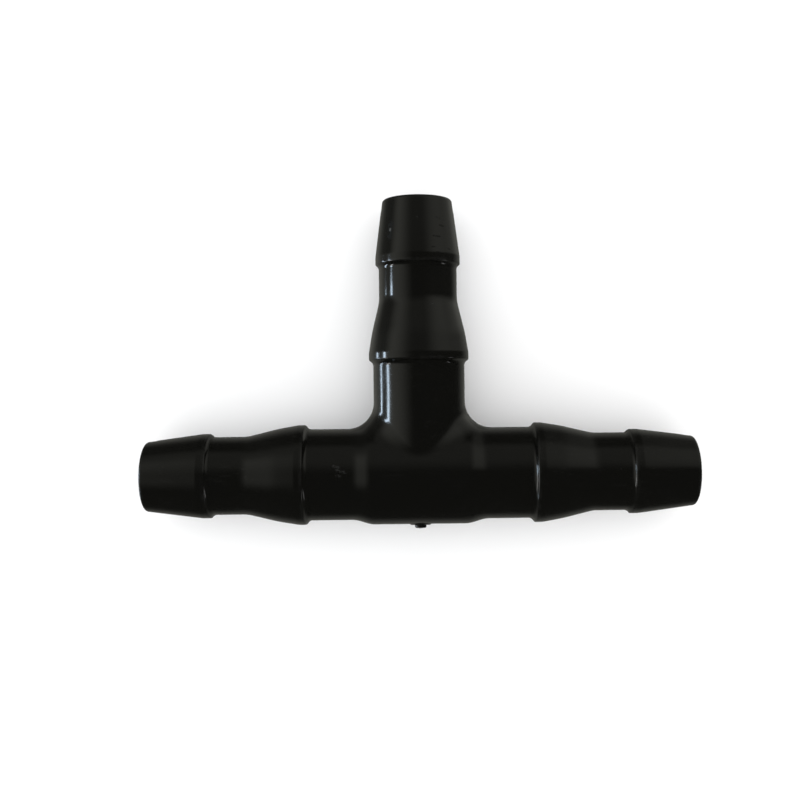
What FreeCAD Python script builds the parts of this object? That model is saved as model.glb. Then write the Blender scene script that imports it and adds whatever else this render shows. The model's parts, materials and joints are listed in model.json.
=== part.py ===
import FreeCAD, Part
import math
import os

# Barbed tee connector for small irrigation hose, in millimetres.
#
# The real tee is one moulding. Its three arms are alike: from the hub outwards each
# has a plain shank, a large inner barb, a neck and a small outer barb, with one
# round water way through it. The moulding is written here as those named portions,
# which meet face to face, and the stub left by the moulding gate is a portion too.
#
# Frame: the origin is where the axes of the run and the branch cross, +X is along
# the run, +Y is along the branch, and +Z is square to both, so the tee lies flat.

# Driving dimensions. "At" is a distance from the crossing of the axes, along an arm.
BORE_R = 3.0
MOUTH_AT = 28.65
MOUTH_EDGE = 0.12           # rounding where the bore opens

SHANK_R = 4.75
INNER_CREST_R = 5.2         # large barb, for hose of 9 mm bore
NECK_R = 4.05
OUTER_CREST_R = 4.4         # small barb, for hose of 8 mm bore
TIP_R = 3.62
TIP_EDGE = 0.3              # rounding of the nose

INNER_SHOULDER_AT = 11.95   # back edge of the large barb's crest
INNER_LAND = 0.7            # length of the cylindrical crest
INNER_KNEE_AT = 14.8        # where the cone behind the crest steepens
INNER_KNEE_R = 4.84
NECK_BLEND_AT = 18.05       # where the line of the cone would meet the neck
NECK_AT = 18.7              # start of the plain neck, past the blend
OUTER_SHOULDER_AT = 21.9    # back edge of the small barb's crest
OUTER_LAND = 0.8
SHOULDER_LEAN = 0.8         # length of a shoulder's slope over its height
SHOULDER_LEAD = 0.3         # plain stretch kept behind a shoulder, with its fillet

CREST_EDGE = 0.25
SHOULDER_FILLET = 0.6
CREST_ROUNDING = 1.5
KNEE_ROUNDING = 14.0
NECK_ROUNDING = 4.0

HUB_R = 5.25
HUB_HALF = 5.15             # half length of the thicker middle of the run
HUB_SLOPE_END = 6.7         # where its conical ends reach the shank
HUB_ROUNDING = 3.0
HUB_END = 7.6               # hub and shanks meet here, clear of the branch fillet
BRANCH_FILLET = 2.8

GATE_R = 0.6
GATE_HEIGHT = 0.45          # how far the broken stub stands off the hub
GATE_EDGE = 0.1
GATE_SWELL_HEIGHT = 0.1
GATE_SWELL_TOP_R = 1.05     # the swelling round the stub narrows from its foot to its top
GATE_SWELL_FOOT_R = 1.5
GATE_ROOT = 5.0             # how near to the run's axis the stub is drawn before the hub is cut from it

EDGE_SAMPLES = 9            # points looked at along an edge
TOUCH = 0.001               # a point nearer to a surface than this is on it

ORIGIN = FreeCAD.Vector(0, 0, 0)
ALONG = FreeCAD.Vector(1, 0, 0)
UP = FreeCAD.Vector(0, 0, 1)
ARM_TURNS = {"right": 0, "branch": 90, "left": 180}


def rounded_corner(before, corner, after, radius):
    """Start, middle and end of the tangent arc that rounds a corner."""
    back = (before - corner).normalize()
    ahead = (after - corner).normalize()
    half_angle = back.getAngle(ahead) / 2
    reach = radius / math.tan(half_angle)
    centre = corner + (back + ahead).normalize() * (radius / math.sin(half_angle))
    middle = centre + (corner - centre).normalize() * radius
    return corner + back * reach, middle, corner + ahead * reach


def turned(outline):
    """Solid of revolution about +X from corners (along, radius, rounding) of its half section."""
    corners = [FreeCAD.Vector(along, radius, 0) for along, radius, rounding in outline]
    roundings = [rounding for along, radius, rounding in outline]
    starts = []
    ends = []
    edges = []
    for i, corner in enumerate(corners):
        if not roundings[i]:
            starts.append(corner)
            ends.append(corner)
            continue
        before = corners[i - 1]
        after = corners[(i + 1) % len(corners)]
        start, middle, end = rounded_corner(before, corner, after, roundings[i])
        starts.append(start)
        ends.append(end)
        edges.append(Part.Arc(start, middle, end).toShape())
    for i, end in enumerate(ends):
        edges.append(Part.LineSegment(end, starts[(i + 1) % len(starts)]).toShape())
    section = Part.Face(Part.Wire(Part.__sortEdges__(edges)))
    return section.revolve(ORIGIN, ALONG, 360)


def shoulder(at, low, crest):
    """Corners of the slope from a plain stretch up to a crest, and the seam behind it."""
    foot = at - SHOULDER_LEAN * (crest - low)
    return [
        (foot - SHOULDER_LEAD, low, 0),
        (foot, low, SHOULDER_FILLET),
        (at, crest, CREST_EDGE),
    ]


def bored_sleeve(outside):
    """Turned piece with the given outside corners and the water way through it."""
    first = outside[0][0]
    last = outside[-1][0]
    return turned(outside + [(last, BORE_R, 0), (first, BORE_R, 0)])


def shank():
    """Plain stretch between the hub and the large barb."""
    seam = shoulder(INNER_SHOULDER_AT, SHANK_R, INNER_CREST_R)[0][0]
    return bored_sleeve([(HUB_END, SHANK_R, 0), (seam, SHANK_R, 0)])


def inner_barb():
    """Large barb: shoulder, crest, and a cone that bends in an S down to the neck."""
    slope = [
        (INNER_SHOULDER_AT + INNER_LAND, INNER_CREST_R, CREST_ROUNDING),
        (INNER_KNEE_AT, INNER_KNEE_R, KNEE_ROUNDING),
        (NECK_BLEND_AT, NECK_R, NECK_ROUNDING),
        (NECK_AT, NECK_R, 0),
    ]
    return bored_sleeve(shoulder(INNER_SHOULDER_AT, SHANK_R, INNER_CREST_R) + slope)


def neck():
    """Plain stretch between the two barbs."""
    seam = shoulder(OUTER_SHOULDER_AT, NECK_R, OUTER_CREST_R)[0][0]
    return bored_sleeve([(NECK_AT, NECK_R, 0), (seam, NECK_R, 0)])


def outer_barb():
    """Small barb: shoulder, crest, and a long cone to the rounded mouth."""
    back = shoulder(OUTER_SHOULDER_AT, NECK_R, OUTER_CREST_R)
    nose = [
        (OUTER_SHOULDER_AT + OUTER_LAND, OUTER_CREST_R, CREST_ROUNDING),
        (MOUTH_AT, TIP_R, TIP_EDGE),
        (MOUTH_AT, BORE_R, MOUTH_EDGE),
        (back[0][0], BORE_R, 0),
    ]
    return turned(back + nose)


def run_collar():
    """Outside of the run through the hub, thicker in the middle, as a solid bar."""
    right_half = [
        (HUB_HALF, HUB_R, HUB_ROUNDING),
        (HUB_SLOPE_END, SHANK_R, HUB_ROUNDING),
        (HUB_END, SHANK_R, 0),
        (HUB_END, 0, 0),
    ]
    left_half = [(-along, radius, rounding) for along, radius, rounding in reversed(right_half)]
    return turned(left_half + right_half)


def is_root_edge(edge):
    """True for an edge where the branch grows out of the run: on the branch, short of its far end."""
    points = edge.discretize(EDGE_SAMPLES)
    on_branch = all(abs(math.hypot(p.x, p.z) - SHANK_R) < TOUCH for p in points)
    short_of_end = all(TOUCH < p.y < HUB_END - TOUCH for p in points)
    return on_branch and short_of_end


def hub_body():
    """Outside of the hub with the filleted root of the branch, not yet bored."""
    branch = Part.makeCylinder(SHANK_R, HUB_END, ORIGIN, FreeCAD.Vector(0, 1, 0))
    body = run_collar().fuse(branch).removeSplitter()
    root_edges = [edge for edge in body.Edges if is_root_edge(edge)]
    return body.makeFillet(BRANCH_FILLET, root_edges)


def hub():
    """Middle of the tee, where the water ways of the three arms meet."""
    run_bore = Part.makeCylinder(BORE_R, 2 * HUB_END, ALONG * -HUB_END, ALONG)
    branch_bore = Part.makeCylinder(BORE_R, HUB_END, ORIGIN, FreeCAD.Vector(0, 1, 0))
    return hub_body().cut(run_bore).cut(branch_bore)


def gate_vestige():
    """Broken stub of the moulding gate on its low swelling, opposite the branch."""
    stub = turned([
        (GATE_ROOT, 0, 0),
        (GATE_ROOT, GATE_R, 0),
        (HUB_R + GATE_HEIGHT, GATE_R, GATE_EDGE),
        (HUB_R + GATE_HEIGHT, 0, 0),
    ])
    stub.rotate(ORIGIN, UP, -90)
    down = FreeCAD.Vector(0, -1, 0)
    swell_r = HUB_R + GATE_SWELL_HEIGHT
    cone = Part.makeCone(GATE_SWELL_FOOT_R, GATE_SWELL_TOP_R, swell_r - GATE_ROOT, down * GATE_ROOT, down)
    swelling = cone.common(Part.makeCylinder(swell_r, 2 * HUB_END, ALONG * -HUB_END, ALONG))
    return stub.fuse(swelling).cut(run_collar()).removeSplitter()


def arm_pieces():
    """The four turned portions of every arm, laid along the run and the branch."""
    portions = {"shank": shank(), "inner_barb": inner_barb(), "neck": neck(), "outer_barb": outer_barb()}
    pieces = {}
    for arm, turn in ARM_TURNS.items():
        for portion, shape in portions.items():
            piece = shape.copy()
            piece.rotate(ORIGIN, UP, turn)
            pieces[arm + "_" + portion] = piece
    return pieces


def main():
    os.makedirs("parts", exist_ok=True)
    nodes = {"hub": hub(), "gate_vestige": gate_vestige()}
    nodes.update(arm_pieces())
    for name, shape in nodes.items():
        shape.exportStep("parts/" + name + ".step")
        print(name, "solids", len(shape.Solids), "valid", shape.isValid(), "mm3", round(shape.Volume, 2))


main()
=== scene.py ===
import json
import math

import bpy
import numpy as np
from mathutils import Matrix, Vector, noise

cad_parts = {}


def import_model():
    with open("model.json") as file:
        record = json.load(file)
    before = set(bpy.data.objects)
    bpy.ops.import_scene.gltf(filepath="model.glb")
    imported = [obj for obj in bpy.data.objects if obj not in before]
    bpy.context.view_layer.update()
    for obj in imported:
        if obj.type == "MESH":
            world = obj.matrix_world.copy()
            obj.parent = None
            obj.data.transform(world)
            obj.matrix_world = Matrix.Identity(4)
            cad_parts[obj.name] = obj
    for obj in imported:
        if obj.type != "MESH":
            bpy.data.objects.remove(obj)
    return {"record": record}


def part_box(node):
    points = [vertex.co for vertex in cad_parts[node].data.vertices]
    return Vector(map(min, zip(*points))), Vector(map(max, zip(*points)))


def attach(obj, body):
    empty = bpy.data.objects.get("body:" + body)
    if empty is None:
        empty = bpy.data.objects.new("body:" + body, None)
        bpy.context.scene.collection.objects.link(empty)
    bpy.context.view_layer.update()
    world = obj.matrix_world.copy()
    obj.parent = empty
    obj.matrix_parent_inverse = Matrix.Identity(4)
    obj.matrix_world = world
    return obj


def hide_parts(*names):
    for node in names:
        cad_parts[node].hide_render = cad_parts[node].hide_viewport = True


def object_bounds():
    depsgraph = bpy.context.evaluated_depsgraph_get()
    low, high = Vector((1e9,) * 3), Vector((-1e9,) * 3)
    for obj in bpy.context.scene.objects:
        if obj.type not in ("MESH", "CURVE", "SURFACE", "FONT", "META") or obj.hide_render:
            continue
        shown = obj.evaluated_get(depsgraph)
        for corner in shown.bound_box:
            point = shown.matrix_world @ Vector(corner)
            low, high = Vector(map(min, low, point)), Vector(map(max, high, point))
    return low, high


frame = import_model()
CAD_LOW, CAD_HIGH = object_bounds()

# Black moulded tee: every portion of the CAD model is rebuilt here as a finer mesh with
# exact normals. Metres. MM turns the named millimetre sizes below into metres.
MM = 0.001
MOUNTS = {mount["name"]: mount for mount in frame["record"]["mounts"]}

# Sizes read from the frame
BORE_R = MOUNTS["run_bore"]["dims"]["r_mm"] * MM
SHANK_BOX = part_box("right_shank")
INNER_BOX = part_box("right_inner_barb")
NECK_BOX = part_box("right_neck")
OUTER_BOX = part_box("right_outer_barb")
HUB_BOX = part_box("hub")
GATE_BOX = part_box("gate_vestige")
HUB_END = SHANK_BOX[0][0]
INNER_SEAM = INNER_BOX[0][0]
NECK_AT = NECK_BOX[0][0]
OUTER_SEAM = OUTER_BOX[0][0]
MOUTH_AT = OUTER_BOX[1][0]
SHANK_R = SHANK_BOX[1][2]
INNER_CREST_R = INNER_BOX[1][2]
NECK_R = NECK_BOX[1][2]
OUTER_CREST_R = OUTER_BOX[1][2]
HUB_R = -HUB_BOX[0][1]
GATE_TOP = -GATE_BOX[0][1]

# Sizes of the moulded details, the same as in the CAD model
SHOULDER_LEAD = 0.3 * MM
SHOULDER_LEAN = 0.8
CREST_EDGE = 0.25 * MM
SHOULDER_FILLET = 0.6 * MM
CREST_ROUNDING = 1.5 * MM
INNER_LAND = 0.7 * MM
INNER_KNEE_AT = 14.8 * MM
INNER_KNEE_R = 4.84 * MM
KNEE_ROUNDING = 14.0 * MM
NECK_BLEND_AT = 18.05 * MM
NECK_ROUNDING = 4.0 * MM
OUTER_LAND = 0.8 * MM
TIP_R = 3.62 * MM
TIP_EDGE = 0.3 * MM
MOUTH_EDGE = 0.12 * MM
HUB_HALF = 5.15 * MM
HUB_SLOPE_END = 6.7 * MM
HUB_ROUNDING = 3.0 * MM
BRANCH_FILLET = 2.8 * MM
GATE_R = 0.6 * MM
GATE_SWELL_HEIGHT = 0.1 * MM
GATE_SWELL_TOP_R = 1.05 * MM

# Details that only the looks have
GATE_SINK = 0.05 * MM        # the swelling starts this far under the hub's surface
GATE_SINK_R = 1.24 * MM      # radius of the swelling there
GATE_DIP = 0.1 * MM          # hollow in the middle of the broken top
GATE_CREST_R = 0.42 * MM
GATE_EDGE = 0.08 * MM
TEAR_SIZE = 0.2 * MM         # width of the lumps on the broken top
TEAR_HEIGHT = 0.09 * MM      # their height
TEAR_START = 0.22 * MM       # the stub is smooth up to this height
RIDGE_HALF_WIDTH = 0.06 * MM
RIDGE_HEIGHT = 0.03 * MM     # how far the parting line stands off the surface
RIDGE_SINK = 0.02 * MM       # its foot is this far under the surface
RIDGE_FADE = 0.8 * MM        # the parting line fades out over this length at its ends

# Fineness of the meshes
RING_SEGMENTS = 160
ARC_STEP = math.radians(5)
FEWEST_ARC_STEPS = 2
LONGEST_STEP = 0.3 * MM
ROOT_COLUMNS = 80            # from the front of the branch root round to its side
BOTTOM_COLUMNS = 24          # of them, those that run down to the bottom of the hub
FILLET_ROWS = 20
STUB_ROWS = 8
COLLAR_ROWS = 40
RIDGE_COLUMNS = 8
SAME_POINT = 1e-7            # points closer than this are one

ARMS = {"right": Vector((1, 0, 0)), "branch": Vector((0, 1, 0)), "left": Vector((-1, 0, 0))}
UP = Vector((0, 0, 1))
ALONG_RUN = np.array([1.0, 0, 0])
ALONG_BRANCH = np.array([0, 1.0, 0])


# ---------------------------------------------------------------- mesh building

def unit(vectors):
    """The vectors scaled to length one along their last axis."""
    return vectors / np.linalg.norm(vectors, axis=-1, keepdims=True)


def bend_of_corners(corner_points, corner_normals, index, count):
    """How sharply the surface bends outwards at each vertex, as one over millimetres."""
    bend = np.zeros(count)
    for k in range(4):
        step = corner_points[:, k - 1] - corner_points[:, k]
        turn = corner_normals[:, k - 1] - corner_normals[:, k]
        square = np.maximum((step ** 2).sum(axis=1), SAME_POINT ** 2)
        rate = (step * turn).sum(axis=1) / square * MM
        np.maximum.at(bend, index[:, k], rate)
        np.maximum.at(bend, index[:, k - 1], rate)
    return bend


def corners_of(grids):
    """Points and normals at the corners of all the grids' quads, each wound to face outwards."""
    corner_points = []
    corner_normals = []
    for points, normals in grids:
        for array, corners in ((points, corner_points), (normals, corner_normals)):
            quads = np.stack([array[:-1, :-1], array[1:, :-1], array[1:, 1:], array[:-1, 1:]], axis=2)
            corners.append(quads.reshape(-1, 4, 3))
    corner_points = np.concatenate(corner_points)
    corner_normals = np.concatenate(corner_normals)
    diagonals = corner_points[:, 2:] - corner_points[:, :2]
    winding = np.cross(diagonals[:, 0], diagonals[:, 1])
    inward = np.einsum("ij,ij->i", winding, corner_normals.sum(axis=1)) < 0
    corner_points[inward] = corner_points[inward][:, ::-1]
    corner_normals[inward] = corner_normals[inward][:, ::-1]
    return corner_points, corner_normals


def make_mesh(name, grids):
    """Object from grids of (points, normals), each rows x columns x 3, joined where they meet."""
    corner_points, corner_normals = corners_of(grids)
    keys = np.round(corner_points.reshape(-1, 3) / SAME_POINT).astype(np.int64)
    first, index = np.unique(keys, axis=0, return_index=True, return_inverse=True)[1:]
    vertices = corner_points.reshape(-1, 3)[first]
    index = index.reshape(-1, 4)
    faces = []
    loop_normals = []
    for quad, normals in zip(index.tolist(), corner_normals.tolist()):
        kept = [k for k in range(4) if quad[k] != quad[k - 1]]
        if len(kept) > 2:
            faces.append([quad[k] for k in kept])
            loop_normals.extend(normals[k] for k in kept)
    mesh = bpy.data.meshes.new(name)
    mesh.from_pydata(vertices.tolist(), [], faces)
    mesh.shade_smooth()
    mesh.normals_split_custom_set(loop_normals)
    bend = bend_of_corners(corner_points, corner_normals, index, len(vertices))
    mesh.attributes.new("bend", "FLOAT", "POINT").data.foreach_set("value", bend)
    mesh.update()
    piece = bpy.data.objects.new(name, mesh)
    bpy.context.scene.collection.objects.link(piece)
    return piece


def corner_stations(corners):
    """For each corner of an outline: whether it is sharp, its points, and their normals in and out."""
    points = [np.array(corner[:2]) for corner in corners]
    stations = []
    for i, point in enumerate(points):
        rounding = corners[i][2]
        back = unit(points[i - 1] - point)
        ahead = unit(points[(i + 1) % len(points)] - point)
        normal_in = np.array([-back[1], back[0]])
        normal_out = np.array([ahead[1], -ahead[0]])
        if not rounding:
            stations.append((True, [point], [normal_in], [normal_out]))
            continue
        sideways = normal_in[0] * normal_out[1] - normal_in[1] * normal_out[0]
        turn = math.atan2(sideways, normal_in @ normal_out)
        side = math.copysign(1, turn)
        reach = rounding * math.tan(abs(turn) / 2)
        start = point + back * reach
        centre = start - side * normal_in * rounding
        steps = max(FEWEST_ARC_STEPS, math.ceil(abs(turn) / ARC_STEP))
        angles = math.atan2(normal_in[1], normal_in[0]) + turn * np.linspace(0, 1, steps + 1)
        normals = [np.array([math.cos(angle), math.sin(angle)]) for angle in angles]
        arc = [centre + side * rounding * normal for normal in normals]
        stations.append((False, arc, normals, normals))
    return stations


def rounded_outline(corners):
    """Smooth runs of a closed outline, each a list of (along, radius) points and outward normals.

    corners holds (along, radius, rounding), anticlockwise as seen with along to the right and
    radius up. A corner with no rounding is sharp, and a new run starts there.
    """
    stations = corner_stations(corners)
    first_sharp = next(i for i, station in enumerate(stations) if station[0])
    stations = stations[first_sharp:] + stations[:first_sharp]
    runs = []
    run_points, run_normals = [stations[0][1][0]], [stations[0][3][0]]
    for sharp, station_points, normals_in, normals_out in stations[1:] + stations[:1]:
        start, start_normal = run_points[-1], run_normals[-1]
        gap = station_points[0] - start
        steps = max(1, math.ceil(np.linalg.norm(gap) / LONGEST_STEP))
        for k in range(1, steps):
            run_points.append(start + gap * k / steps)
            run_normals.append(start_normal)
        run_points.extend(station_points)
        run_normals.extend(normals_in)
        if sharp:
            runs.append((np.array(run_points), np.array(run_normals)))
            run_points, run_normals = [station_points[0]], [normals_out[0]]
    return runs


def turned_grid(run_points, run_normals, direction):
    """A run of (along, radius) points and normals turned about an axis through the origin."""
    across = UP.cross(direction)
    angles = np.linspace(0, 2 * math.pi, RING_SEGMENTS + 1)
    angles[-1] = 0
    rim = np.outer(np.cos(angles), across) + np.outer(np.sin(angles), UP)
    axis = np.array(direction)
    points = run_points[:, 0, None, None] * axis + run_points[:, 1, None, None] * rim
    normals = run_normals[:, 0, None, None] * axis + run_normals[:, 1, None, None] * rim
    return points, normals


def turned(name, corners, direction):
    """Closed outline turned about an arm's axis: corners are (distance along, radius, rounding)."""
    return make_mesh(name, [turned_grid(*run, direction) for run in rounded_outline(corners)])


# ---------------------------------------------------------------- portions of an arm

def shoulder(seam, low, crest):
    """Corners from a plain stretch up a shoulder to the back edge of a crest."""
    foot = seam + SHOULDER_LEAD
    back_edge = foot + SHOULDER_LEAN * (crest - low)
    return [(seam, low, 0), (foot, low, SHOULDER_FILLET), (back_edge, crest, CREST_EDGE)]


def inner_barb_outside():
    """Corners of the large barb from its seam with the shank to its seam with the neck."""
    back = shoulder(INNER_SEAM, SHANK_R, INNER_CREST_R)
    slope = [
        (back[-1][0] + INNER_LAND, INNER_CREST_R, CREST_ROUNDING),
        (INNER_KNEE_AT, INNER_KNEE_R, KNEE_ROUNDING),
        (NECK_BLEND_AT, NECK_R, NECK_ROUNDING),
        (NECK_AT, NECK_R, 0),
    ]
    return back + slope


def outer_barb_outside():
    """Corners of the small barb from its seam with the neck to the mouth."""
    back = shoulder(OUTER_SEAM, NECK_R, OUTER_CREST_R)
    nose = [
        (back[-1][0] + OUTER_LAND, OUTER_CREST_R, CREST_ROUNDING),
        (MOUTH_AT, TIP_R, TIP_EDGE),
        (MOUTH_AT, BORE_R, MOUTH_EDGE),
    ]
    return back + nose


def bored_outline(start, end, outside):
    """Closed outline of a portion from start to end along an arm: the water way, then its outside."""
    return [(start, BORE_R, 0), (end, BORE_R, 0)] + outside[::-1]


def plain_outline(start, end, radius):
    """Closed outline of a portion with a cylindrical outside."""
    return bored_outline(start, end, [(start, radius, 0), (end, radius, 0)])


def portion_outlines():
    """Closed outlines of the four portions of an arm."""
    return {
        "shank": plain_outline(HUB_END, INNER_SEAM, SHANK_R),
        "inner_barb": bored_outline(INNER_SEAM, NECK_AT, inner_barb_outside()),
        "neck": plain_outline(NECK_AT, OUTER_SEAM, NECK_R),
        "outer_barb": [(OUTER_SEAM, BORE_R, 0)] + outer_barb_outside()[::-1],
    }


def arm_profile():
    """Outside of a whole arm from the hub to its nose: points (along, radius) and normals."""
    outside = [(HUB_END, SHANK_R, 0)] + inner_barb_outside()[1:-1] + outer_barb_outside()[1:-1]
    corners = [(HUB_END, 0, 0), (MOUTH_AT, 0, 0)] + outside[::-1]
    # Of the runs, the outside has the most points
    points, normals = max(rounded_outline(corners), key=lambda run: len(run[0]))
    before_tip = points[:, 0] < MOUTH_AT - TIP_EDGE
    return points[before_tip][::-1], normals[before_tip][::-1]


# ---------------------------------------------------------------- hub

def collar_profile():
    """Outside of the run through the hub, from its middle to its end: points and normals."""
    corners = [
        (0, HUB_R, 0),
        (0, BORE_R, 0),
        (HUB_END, BORE_R, 0),
        (HUB_END, SHANK_R, 0),
        (HUB_SLOPE_END, SHANK_R, HUB_ROUNDING),
        (HUB_HALF, HUB_R, HUB_ROUNDING),
    ]
    # Of the runs, the outside stays farthest from the axis
    points, normals = max(rounded_outline(corners), key=lambda run: run[0][:, 1].min())
    return points[::-1], normals[::-1]


def collar_surface(along, angle):
    """Points and normals of the collar at distances along the run and angles from +Y."""
    points, normals = collar_profile()
    radius = np.interp(along, points[:, 0], points[:, 1])
    tilt = np.interp(along, points[:, 0], normals[:, 0])
    rise = np.interp(along, points[:, 0], normals[:, 1])
    y, z = np.cos(angle), np.sin(angle)
    on_surface = np.stack([along, radius * y, radius * z], axis=-1)
    outward = np.stack([tilt, rise * y, rise * z], axis=-1)
    return on_surface, unit(outward)


def root_fillet():
    """Where a ball rolled round the branch root touches: its centres and both contact curves."""
    angles = np.linspace(0, math.pi / 2, ROOT_COLUMNS + 1)
    centre_r = SHANK_R + BRANCH_FILLET
    centre_x, centre_z = centre_r * np.sin(angles), centre_r * np.cos(angles)
    points, normals = collar_profile()
    offset = points + BRANCH_FILLET * normals
    ball_r = np.interp(centre_x, offset[:, 0], offset[:, 1])
    touch_x = np.interp(centre_x, offset[:, 0], points[:, 0])
    centre_y = np.sqrt(ball_r ** 2 - centre_z ** 2)
    centres = np.stack([centre_x, centre_y, centre_z], axis=-1)
    touch_angle = np.arctan2(centre_z, centre_y)
    return angles, centres, touch_x, touch_angle


def stub_grid(around, on_branch):
    """Outside of the branch from the hub's end down to the fillet."""
    rise = np.linspace(0, 1, STUB_ROWS + 1)[:, None, None]
    branch_end = SHANK_R * around + HUB_END * ALONG_BRANCH
    points = branch_end + (on_branch - branch_end) * rise
    return points, np.broadcast_to(around, points.shape)


def fillet_grid(centres, on_branch, on_run):
    """Surface that the rolling ball leaves, from the branch down to the run."""
    from_branch = unit(on_branch - centres)
    from_run = unit(on_run - centres)
    sweep = np.arccos(np.clip((from_branch * from_run).sum(axis=-1, keepdims=True), -1, 1))
    share = np.linspace(0, 1, FILLET_ROWS + 1)[:, None, None]
    spoke = from_branch * np.sin((1 - share) * sweep) + from_run * np.sin(share * sweep)
    spoke = spoke / np.sin(sweep)
    points = centres + BRANCH_FILLET * spoke
    points[0] = on_branch
    points[-1] = on_run
    return points, -spoke


def collar_grid(touch_x, touch_angle, on_run, ring_angles):
    """Outside of the run from the fillet round to the bottom of the hub and out to its end."""
    bottom_x = np.linspace(0, HUB_END, BOTTOM_COLUMNS + 1)
    target_x = np.concatenate([bottom_x, np.full(len(ring_angles) - 1, HUB_END)])
    target_angle = np.concatenate([np.full(BOTTOM_COLUMNS + 1, math.pi), ring_angles[1:]])
    share = np.linspace(0, 1, COLLAR_ROWS + 1)[:, None]
    along = touch_x + (target_x - touch_x) * share
    angle = touch_angle + (target_angle - touch_angle) * share
    points, normals = collar_surface(along, angle)
    points[0] = on_run
    return points, normals


def bore_grid(rim, axis, start):
    """Part of a water way from start, a distance for each point of rim, to the hub's end."""
    share = np.linspace(0, 1, COLLAR_ROWS + 1)[:, None, None]
    distance = start[:, None] + (HUB_END - start[:, None]) * share
    points = BORE_R * rim + distance * axis
    return points, np.broadcast_to(-rim, points.shape)


def end_face(inner_rim, outer_rim, axis):
    """Flat ring where the hub meets a shank, between rims given as directions from the axis."""
    points = np.stack([BORE_R * inner_rim, SHANK_R * outer_rim]) + HUB_END * axis
    return points, np.broadcast_to(axis, points.shape)


def water_way_grids(ring_angles, around):
    """Both water ways through the hub, and the flat rings round their ends."""
    ring = np.stack([np.zeros_like(ring_angles), np.cos(ring_angles), np.sin(ring_angles)], axis=-1)
    quarter = ring[:len(ring) // 2 - 1:-1, [1, 0, 2]]
    nearest = np.linspace(len(quarter) - 1, 0, len(around)).round().astype(int)
    return [
        bore_grid(ring, ALONG_RUN, np.maximum(BORE_R * ring[:, 1], 0)),
        bore_grid(quarter, ALONG_BRANCH, BORE_R * quarter[:, 0]),
        end_face(ring, ring, ALONG_RUN),
        end_face(quarter[nearest], around, ALONG_BRANCH),
    ]


def hub_quarter():
    """Grids of the hub's outside and water ways where x and z are positive."""
    angles, centres, touch_x, touch_angle = root_fillet()
    around = np.stack([np.sin(angles), np.zeros_like(angles), np.cos(angles)], axis=-1)
    on_branch = SHANK_R * around + centres * ALONG_BRANCH
    on_run = collar_surface(touch_x, touch_angle)[0]
    ring_angles = np.linspace(math.pi, 0, ROOT_COLUMNS - BOTTOM_COLUMNS + 1)
    outside = [
        stub_grid(around, on_branch),
        fillet_grid(centres, on_branch, on_run),
        collar_grid(touch_x, touch_angle, on_run, ring_angles),
    ]
    return outside + water_way_grids(ring_angles, around)


def hub():
    """Middle of the tee, from one quarter and its mirror images."""
    grids = []
    for points, normals in hub_quarter():
        for mirror in ((1, 1, 1), (-1, 1, 1), (1, 1, -1), (-1, 1, -1)):
            grids.append((points * np.array(mirror), normals * np.array(mirror)))
    return make_mesh("hub_moulding", grids)


# ---------------------------------------------------------------- gate stub and parting line

def bent_normals(points, rough_normals):
    """Normals of a bent turned grid, on the same side as the normals it had before."""
    down = np.gradient(points, axis=0)
    ring = points[:, :-1]
    across = np.roll(ring, -1, axis=1) - np.roll(ring, 1, axis=1)
    across = np.concatenate([across, across[:, :1]], axis=1)
    normals = np.cross(down, across)
    normals *= np.sign((normals * rough_normals).sum(axis=-1, keepdims=True))
    length = np.linalg.norm(normals, axis=-1, keepdims=True)
    flat = length < SAME_POINT ** 2
    return np.where(flat, rough_normals, normals / np.where(flat, 1, length))


def torn(height, x, z):
    """Height of a point of the stub once its top is torn: smooth below, lumpy above."""
    lump = noise.noise(Vector((x, z, 0)) / TEAR_SIZE)
    share = min(1.0, max(0.0, (height - TEAR_START) / (GATE_TOP - HUB_R - TEAR_START)))
    return height + share * TEAR_HEIGHT * lump


def gate_stub():
    """Broken stub of the gate: a low swelling that follows the hub, and a rough torn top."""
    top = GATE_TOP - HUB_R
    corners = [
        (-GATE_SINK, 0, 0),
        (top - GATE_DIP, 0, 0),
        (top, GATE_CREST_R, GATE_EDGE),
        (top - GATE_DIP, GATE_R, GATE_EDGE),
        (GATE_SWELL_HEIGHT, GATE_R, GATE_EDGE),
        (GATE_SWELL_HEIGHT, GATE_SWELL_TOP_R, GATE_EDGE),
        (-GATE_SINK, GATE_SINK_R, 0),
    ]
    grids = []
    for run_points, run_normals in rounded_outline(corners):
        if not run_points[:, 1].any():
            continue
        points, normals = turned_grid(run_points, run_normals, Vector((0, -1, 0)))
        for point in points.reshape(-1, 3):
            height = torn(-point[1], point[0], point[2])
            point[1] = max(-math.sqrt(HUB_R ** 2 - point[2] ** 2) - height, -GATE_TOP)
        grids.append((points, bent_normals(points, normals)))
    return make_mesh("gate_stub", grids)


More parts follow.
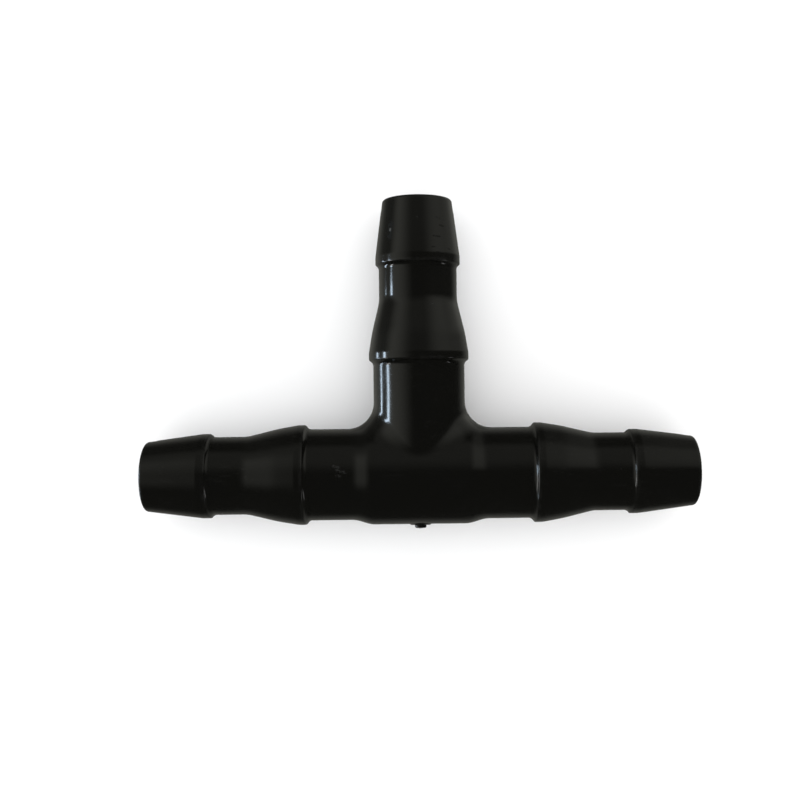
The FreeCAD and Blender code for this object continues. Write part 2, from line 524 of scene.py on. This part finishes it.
def ridge_grids(points, normals):
    """Low ridge along a path in the plane of the axes, from points (x, y) and outward normals."""
    steps = np.linalg.norm(np.diff(points, axis=0), axis=1)
    travel = np.concatenate([[0], np.cumsum(steps)])
    fade = np.clip(np.minimum(travel, travel[-1] - travel) / RIDGE_FADE, 0, 1)[:, None, None]
    level = np.zeros((len(points), 1))
    base = np.concatenate([points, level], axis=1)[:, None, :]
    outward = np.concatenate([normals, level], axis=1)[:, None, :]
    angles = np.linspace(0, math.pi, RIDGE_COLUMNS + 1)[None, :, None]
    rise = (RIDGE_HEIGHT + RIDGE_SINK) * np.sin(angles) - RIDGE_SINK / np.maximum(fade, SAME_POINT)
    spread = RIDGE_HALF_WIDTH * np.cos(angles)
    top = base + fade * (rise * outward + spread * np.array(UP))
    up_share = RIDGE_HEIGHT * np.cos(angles) * np.array(UP)
    top_normals = RIDGE_HALF_WIDTH * np.sin(angles) * outward + up_share
    bottom = top[:, [0, -1]]
    return [(top, unit(top_normals)), (bottom, np.broadcast_to(-outward, bottom.shape))]


def parting_line():
    """Fine line left where the halves of the mould met, all round in the plane of the axes."""
    arm_points, arm_normals = arm_profile()
    collar_points, collar_normals = collar_profile()
    half_points = np.concatenate([collar_points, arm_points])
    half_normals = np.concatenate([collar_normals, arm_normals])
    down = np.array([1, -1])
    mirror = np.array([-1, -1])
    bottom = (
        np.concatenate([half_points[:0:-1] * mirror, half_points * down]),
        np.concatenate([half_normals[:0:-1] * mirror, half_normals * down]),
    )
    centre = SHANK_R + BRANCH_FILLET
    angles = np.linspace(math.pi, 1.5 * math.pi, FILLET_ROWS + 1)
    spoke = np.stack([np.cos(angles), np.sin(angles)], axis=-1)
    corner_points = np.concatenate([arm_points[::-1, ::-1], centre + BRANCH_FILLET * spoke, arm_points])
    corner_normals = np.concatenate([arm_normals[::-1, ::-1], -spoke, arm_normals])
    left = np.array([-1, 1])
    paths = [bottom, (corner_points, corner_normals), (corner_points * left, corner_normals * left)]
    return make_mesh("parting_line", [grid for path in paths for grid in ridge_grids(*path)])


# ---------------------------------------------------------------- shader building

def feed(tree, socket, value):
    """Joins the socket to another node's output, or sets its number."""
    if isinstance(value, bpy.types.NodeSocket):
        tree.links.new(value, socket)
    else:
        socket.default_value = value


def maths(tree, operation, *values):
    """Output of a Math node that is fed with numbers or with other nodes' outputs."""
    made = tree.nodes.new("ShaderNodeMath")
    made.operation = operation
    for socket, value in zip(made.inputs, values):
        feed(tree, socket, value)
    return made.outputs["Value"]


def vector_maths(tree, operation, first, second, output="Vector"):
    """Output of a Vector Math node. Second is a number where the operation is SCALE."""
    made = tree.nodes.new("ShaderNodeVectorMath")
    made.operation = operation
    feed(tree, made.inputs[0], first)
    feed(tree, made.inputs["Scale"] if operation == "SCALE" else made.inputs[1], second)
    return made.outputs[output]


def ramp(tree, value, start, end, low=0.0, high=1.0):
    """Smooth step from low, where the value is at start, to high, where it is at end."""
    made = tree.nodes.new("ShaderNodeMapRange")
    made.interpolation_type = "SMOOTHSTEP"
    settings = {"Value": value, "From Min": start, "From Max": end, "To Min": low, "To Max": high}
    for name, setting in settings.items():
        feed(tree, made.inputs[name], setting)
    return made.outputs["Result"]


def grain(tree, place, size, detail):
    """Noise from 0 to 1 with lumps about size millimetres apart, and finer ones with more detail."""
    made = tree.nodes.new("ShaderNodeTexNoise")
    made.inputs["Scale"].default_value = 1 / size
    made.inputs["Detail"].default_value = detail
    feed(tree, made.inputs["Vector"], place)
    return made.outputs["Fac"]


def scratches(tree, place, turn, width, length, rarity):
    """Fine straight scratches, all one way: width, length in millimetres, rarity from 0.5 to 1."""
    mapped = tree.nodes.new("ShaderNodeMapping")
    mapped.inputs["Rotation"].default_value = turn
    mapped.inputs["Scale"].default_value = (1 / length, 1 / width, 1 / width)
    feed(tree, mapped.inputs["Vector"], place)
    return ramp(tree, grain(tree, mapped.outputs["Vector"], 1, 1), rarity, rarity + SCRATCH_EDGE)


def broken(tree, place, mask, size, start, end, detail):
    """The mask with gaps: 0 where noise is under start, whole where it is over end."""
    return maths(tree, "MULTIPLY", mask, ramp(tree, grain(tree, place, size, detail), start, end))


def specks(tree, place, spacing, radius, share):
    """Round specks of dust: a share of the cells, spacing millimetres across, holds one."""
    cells = tree.nodes.new("ShaderNodeTexVoronoi")
    cells.inputs["Scale"].default_value = 1 / spacing
    feed(tree, cells.inputs["Vector"], place)
    pick = tree.nodes.new("ShaderNodeSeparateColor")
    feed(tree, pick.inputs["Color"], cells.outputs["Color"])
    chosen = maths(tree, "LESS_THAN", pick.outputs["Red"], share)
    rim = radius / spacing
    spot = ramp(tree, cells.outputs["Distance"], rim, rim / 2)
    return maths(tree, "MULTIPLY", chosen, spot)


def stroke(tree, place, start, end, half_width):
    """Mark drawn between two points on the surface, in millimetres: 1 on it, 0 off it."""
    line = end - start
    from_start = vector_maths(tree, "SUBTRACT", place, start)
    travelled = vector_maths(tree, "DOT_PRODUCT", from_start, line / line.length_squared, "Value")
    held = maths(tree, "MINIMUM", maths(tree, "MAXIMUM", travelled, 0.0), 1.0)
    vector_on_line = vector_maths(tree, "SCALE", line, held)
    off = vector_maths(tree, "DISTANCE", from_start, vector_on_line, "Value")
    return ramp(tree, off, half_width, half_width * SOLID_SHARE)


# ---------------------------------------------------------------- material

BLACK = (0.0025, 0.0025, 0.002, 1)
SCUFFED = (0.03, 0.03, 0.028, 1)
# Pale grey of dust specks, also painted on one raised speck as its glint
DUST_AND_GLINT = (0.05, 0.05, 0.048, 1)
IOR = 1.5
SPECULAR = 0.5
DULL_LOSS = 0.22             # how much of the specular level a dull mark takes away

# Patches of more and less gloss: lump size in millimetres and detail, the noise between
# which roughness rises, and the roughness at both ends
GLOSS_PATCHES = (4.0, 4.0)
GLOSS_NOISE = (0.35, 0.65)
GLOSS_ROUGHNESS = (0.1, 0.16)

# Unevenness of the moulded surface in millimetres: lump size, height, and detail
RELIEF = ((5.0, 0.05, 1.0), (0.7, 0.002, 2.0), (0.15, 0.0003, 2.0))

# Crests are rubbed where they bend more than the first pair, in one over millimetres, and
# finer edges, which bend more than the second pair, aren't
CREST_BEND = (1.0, 4.0)
FINE_EDGE_BEND = (12.0, 8.0)

# Scratches: turn, width and length in millimetres, and rarity, which is the noise where one
# starts. It is whole where the noise is higher by SCRATCH_EDGE.
SCRATCHES = (((0.2, 0.3, 0.5), 0.12, 3.0, 0.66), ((0.5, 0.1, -0.9), 0.1, 4.0, 0.68))
SCRATCH_EDGE = 0.08

# Gaps in each kind of wear: lump size in millimetres, start and end of the noise, and detail
RUB_GAPS = (0.7, 0.35, 0.6, 2.0)
SCRATCH_GAPS = (7.0, 0.45, 0.65, 1.0)
PALE_GAPS = (0.25, 0.35, 0.65, 2.0)
DULL_GAPS = (0.4, 0.3, 0.55, 2.0)

DUST_SPECKS = (0.9, 0.035, 0.02)    # spacing and radius in millimetres, share of cells
SOLID_SHARE = 1 / 3                 # a drawn mark is solid over this share of its half width

# What each kind of wear adds: share of the scuffed colour, roughness, height in millimetres
WEAR = {
    "rubbed": (0.08, 0.1, 0),
    "scratched": (0.12, 0.1, -0.002),
    "pale": (0.28, 0.3, 0.004),
    "dull": (0, 0.2, 0),
    # Dust specks, and one raised speck whose glint is painted in their pale grey
    "dust_and_glint": (0, 0.5, 0.02),
}

# Marks of handling: arm, then distance along it and to its side at both ends, and half
# width, in millimetres. Pale ones are scuffed, dull ones only take the gloss away.
PALE_MARKS = (
    ("left", 8.7, -1.2, 8.05, -1.0, 0.2),
    ("left", 8.35, -0.75, 7.5, -0.55, 0.22),
    ("left", 8.45, -0.3, 8.0, -0.15, 0.18),
    ("branch", 17.4, -1.2, 17.5, -1.6, 0.08),
    ("right", 19.9, 0.4, 20.4, 0.5, 0.06),
)
DULL_MARKS = (
    ("branch", 25.7, 2.7, 24.3, 2.85, 0.5),
    ("branch", 26.3, -1.95, 26.2, -2.3, 0.12),
    ("branch", 25.5, -2.3, 25.4, -2.7, 0.13),
    ("branch", 24.35, -1.65, 24.3, -2.3, 0.14),
    ("branch", 23.2, -1.5, 23.1, -3.3, 0.12),
    ("branch", 22.7, -1.9, 22.65, -3.3, 0.1),
)
# A raised speck on the small barb of the branch, its glint painted in pale grey
PAINTED_GLINT_MARKS = (("branch", 25.1, 2.75, 25.2, 2.75, 0.16),)


def on_arm(arm, along, across):
    """Point of an arm's upper side in millimetres; across is to the left as the arm is looked along."""
    points = arm_profile()[0] / MM
    radius = np.interp(along, points[:, 0], points[:, 1])
    side = UP.cross(ARMS[arm])
    return ARMS[arm] * along + side * across + UP * math.sqrt(radius ** 2 - across ** 2)


def marks(tree, place, drawn):
    """All the drawn marks together, 1 on any of them."""
    total = 0.0
    for arm, along, across, end_along, end_across, half_width in drawn:
        start, end = on_arm(arm, along, across), on_arm(arm, end_along, end_across)
        total = maths(tree, "MAXIMUM", total, stroke(tree, place, start, end, half_width))
    return total


def blend_colour(tree, share, first, second):
    """The first colour where share is 0, the second where it is 1."""
    made = tree.nodes.new("ShaderNodeMix")
    made.data_type = "RGBA"
    feed(tree, made.inputs["Factor"], share)
    feed(tree, made.inputs["A"], first)
    feed(tree, made.inputs["B"], second)
    return made.outputs["Result"]


def wear_masks(tree, place):
    """Where each kind of wear is, and the painted glint of one speck, 1 on it and 0 off it."""
    edge = tree.nodes.new("ShaderNodeAttribute")
    edge.attribute_name = "bend"
    bend = edge.outputs["Fac"]
    crest = maths(tree, "MULTIPLY", ramp(tree, bend, *CREST_BEND), ramp(tree, bend, *FINE_EDGE_BEND))
    scratched = 0.0
    for turn, width, length, rarity in SCRATCHES:
        fine = scratches(tree, place, turn, width, length, rarity)
        scratched = maths(tree, "MAXIMUM", scratched, fine)
    # The drawn speck: a painted glint
    painted_glint = marks(tree, place, PAINTED_GLINT_MARKS)
    return {
        "rubbed": broken(tree, place, crest, *RUB_GAPS),
        "scratched": broken(tree, place, scratched, *SCRATCH_GAPS),
        "pale": broken(tree, place, marks(tree, place, PALE_MARKS), *PALE_GAPS),
        "dull": broken(tree, place, marks(tree, place, DULL_MARKS), *DULL_GAPS),
        "dust_and_glint": maths(tree, "MAXIMUM", specks(tree, place, *DUST_SPECKS), painted_glint),
    }


def black_polyethylene():
    """Moulded black polyethylene: satin, faintly wavy, with scuffs, worn edges, a little dust and one
    speck's painted glint.
    """
    material = bpy.data.materials.new("black_polyethylene")
    material.use_nodes = True
    tree = material.node_tree
    shader = tree.nodes["Principled BSDF"]
    shader.inputs["IOR"].default_value = IOR
    coordinates = tree.nodes.new("ShaderNodeTexCoord")
    place = vector_maths(tree, "SCALE", coordinates.outputs["Object"], 1 / MM)

    scuffs = 0.0
    rough = ramp(tree, grain(tree, place, *GLOSS_PATCHES), *GLOSS_NOISE, *GLOSS_ROUGHNESS)
    height = 0.0
    for size, rise, detail in RELIEF:
        height = maths(tree, "MULTIPLY_ADD", grain(tree, place, size, detail), rise, height)
    masks = wear_masks(tree, place)
    for name, (paleness, roughness, rise) in WEAR.items():
        scuffs = maths(tree, "MAXIMUM", scuffs, maths(tree, "MULTIPLY", masks[name], paleness))
        rough = maths(tree, "MULTIPLY_ADD", masks[name], roughness, rough)
        height = maths(tree, "MULTIPLY_ADD", masks[name], rise, height)

    colour = blend_colour(tree, scuffs, BLACK, SCUFFED)
    # Pale grey for dust specks, and as a painted glint on the drawn speck
    colour = blend_colour(tree, masks["dust_and_glint"], colour, DUST_AND_GLINT)
    feed(tree, shader.inputs["Base Color"], colour)
    feed(tree, shader.inputs["Roughness"], rough)
    shine = maths(tree, "MULTIPLY_ADD", masks["dull"], -DULL_LOSS, SPECULAR)
    feed(tree, shader.inputs["Specular IOR Level"], shine)
    bump = tree.nodes.new("ShaderNodeBump")
    bump.inputs["Distance"].default_value = MM
    feed(tree, bump.inputs["Height"], height)
    feed(tree, shader.inputs["Normal"], bump.outputs["Normal"])
    return material


# ---------------------------------------------------------------- the object

plastic = black_polyethylene()


def keep(piece, *cad_nodes):
    """The piece gets its material, and stands for its CAD nodes if it has any."""
    piece.data.materials.append(plastic)
    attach(piece, "root")
    if cad_nodes:
        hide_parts(*cad_nodes)


keep(hub(), "hub")
keep(gate_stub(), "gate_vestige")
for arm, direction in ARMS.items():
    for portion, outline in portion_outlines().items():
        keep(turned(arm + "_" + portion + "_moulding", outline, direction), arm + "_" + portion)
keep(parting_line())


# ---------------------------------------------------------------- camera, floor and light

CAMERA_HEIGHT = 105 * MM
CAMERA_AHEAD = 7.8 * MM      # towards the branch
CAMERA_TURN = math.radians(-0.7)
SENSOR = 36
LENS = 45
SHIFT_X = -0.024
SHIFT_Y = -0.0009
NEAREST = 0.001
FARTHEST = 10

FLOOR_HALF = 1.5
FLOOR_COLOUR = (0.95, 0.95, 0.95, 1)
FLOOR_ROUGHNESS = 0.9

SURROUND = 1.35              # brightness of the white that lights the table all round
WHITE = (1, 1, 1)
WINDOW = (0.68, 0.84, 1)     # colour of daylight through glass
WARM_WHITE = (1, 1, 0.9)

# The dim room that the tee's gloss reflects: its brightness at its darkest, then what glows
# in it. A glow has its own brightness, which comes up from nothing along each of its ramps,
# an axis of the ray's direction with the ramp's start and end.
ROOM = 0.035
LEFT_WALL = (0.54, (("X", -0.2, -1.0), ("Y", -0.6, -0.15)))
OTHER_GLOWS = {
    "back wall": (0.13, (("Y", 0.1, 0.65), ("Z", 0.0, 0.35))),
    "right wall": (0.3, (("X", 0.2, 0.8), ("Y", 0.1, 0.35))),
    "table": (0.15, (("Z", -0.35, -0.8),)),
}

# The left wall is dimmer below an edge that climbs towards the back: the edge's slope, the
# heights over it between which the wall brightens, and the share of its brightness that is
# left below, which falls from the first to the second between two values of Y
EDGE_SLOPE = 0.6
EDGE_HEIGHTS = (-0.2, 0.3)
BELOW_EDGE = (0.4, 0.12)
BELOW_EDGE_Y = (0.1, 0.35)

# Bright windows in that room: place along X, ranges of Y and Z, brightness, colour
WINDOWS = {
    "window": (-0.4, (-0.02, 0.068), (0.018, 0.062), 19, WINDOW),
    "curtain": (-0.4, (-0.2, -0.02), (0.018, 0.062), 7, WHITE),
    "window_in_table": (-0.4, (-0.2, 0.06), (-0.165, -0.125), 13, WINDOW),
    "far_window": (0.4, (-0.3, -0.16), (-0.015, 0.035), 3, WHITE),
}


def camera():
    """Camera over the tee, looking straight down."""
    data = bpy.data.cameras.new("camera")
    data.sensor_width = SENSOR
    data.lens = LENS
    data.shift_x = SHIFT_X
    data.shift_y = SHIFT_Y
    data.clip_start = NEAREST
    data.clip_end = FARTHEST
    eye = bpy.data.objects.new("camera", data)
    eye.location = (0, CAMERA_AHEAD, CAMERA_HEIGHT)
    eye.rotation_euler = (0, 0, CAMERA_TURN)
    bpy.context.scene.collection.objects.link(eye)
    bpy.context.scene.camera = eye


def floor():
    """White table top under the tee. Its glare is left out of the tee's reflections."""
    sides = (-FLOOR_HALF, FLOOR_HALF)
    corners = [(x, y, CAD_LOW.z) for x in sides for y in sides]
    mesh = bpy.data.meshes.new("floor")
    mesh.from_pydata(corners, [], [(0, 2, 3, 1)])
    piece = bpy.data.objects.new("floor", mesh)
    bpy.context.scene.collection.objects.link(piece)
    material = bpy.data.materials.new("pale_floor")
    material.use_nodes = True
    shader = material.node_tree.nodes["Principled BSDF"]
    shader.inputs["Base Color"].default_value = FLOOR_COLOUR
    shader.inputs["Roughness"].default_value = FLOOR_ROUGHNESS
    mesh.materials.append(material)
    piece.visible_glossy = False
    piece.visible_shadow = False


def window(name, x, y_range, z_range, radiance, colour):
    """Upright rectangle of even brightness that faces the tee from its left or right."""
    width = z_range[1] - z_range[0]
    depth = y_range[1] - y_range[0]
    data = bpy.data.lights.new(name, "AREA")
    data.shape = "RECTANGLE"
    data.size = width
    data.size_y = depth
    data.energy = radiance * math.pi * width * depth
    data.color = colour
    lamp = bpy.data.objects.new(name, data)
    lamp.location = (x, sum(y_range) / 2, sum(z_range) / 2)
    lamp.rotation_euler = (0, math.copysign(math.pi / 2, x), 0)
    lamp.visible_camera = False
    bpy.context.scene.collection.objects.link(lamp)


def glow(tree, direction, brightness, rises):
    """Brightness of one part of the room, come up from nothing along each of its ramps."""
    for axis, start, end in rises:
        rise = ramp(tree, direction[axis], start, end)
        brightness = maths(tree, "MULTIPLY", brightness, rise)
    return brightness


def left_wall_share(tree, direction):
    """Share of the left wall's brightness: whole above its slanting edge, less below it."""
    below = ramp(tree, direction["Y"], *BELOW_EDGE_Y, *BELOW_EDGE)
    over_edge = maths(tree, "MULTIPLY_ADD", direction["Y"], -EDGE_SLOPE, direction["Z"])
    return ramp(tree, over_edge, *EDGE_HEIGHTS, below, 1)


def room_glow(tree):
    """Brightness of the room in the direction a reflected ray leaves by."""
    coordinates = tree.nodes.new("ShaderNodeTexCoord")
    separate = tree.nodes.new("ShaderNodeSeparateXYZ")
    feed(tree, separate.inputs["Vector"], coordinates.outputs["Generated"])
    direction = {axis: separate.outputs[axis] for axis in "XYZ"}
    left = glow(tree, direction, *LEFT_WALL)
    left = maths(tree, "MULTIPLY", left, left_wall_share(tree, direction))
    total = maths(tree, "ADD", left, ROOM)
    for brightness, rises in OTHER_GLOWS.values():
        total = maths(tree, "ADD", total, glow(tree, direction, brightness, rises))
    return total


def world():
    """White surround for the table, and for the tee's reflections a dim room in its place."""
    made = bpy.data.worlds.new("studio")
    bpy.context.scene.world = made
    made.use_nodes = True
    made.cycles.sampling_method = "NONE"
    tree = made.node_tree
    white = tree.nodes["Background"]
    white.inputs["Color"].default_value = (*WHITE, 1)
    white.inputs["Strength"].default_value = SURROUND
    room = tree.nodes.new("ShaderNodeBackground")
    room.inputs["Color"].default_value = (*WARM_WHITE, 1)
    feed(tree, room.inputs["Strength"], room_glow(tree))
    path = tree.nodes.new("ShaderNodeLightPath")
    choice = tree.nodes.new("ShaderNodeMixShader")
    tree.links.new(path.outputs["Is Glossy Ray"], choice.inputs["Fac"])
    tree.links.new(white.outputs["Background"], choice.inputs[1])
    tree.links.new(room.outputs["Background"], choice.inputs[2])
    tree.links.new(choice.outputs["Shader"], tree.nodes["World Output"].inputs["Surface"])


camera()
floor()
world()
for name, sizes in WINDOWS.items():
    window(name, *sizes)
bpy.context.scene.view_settings.view_transform = "Standard"
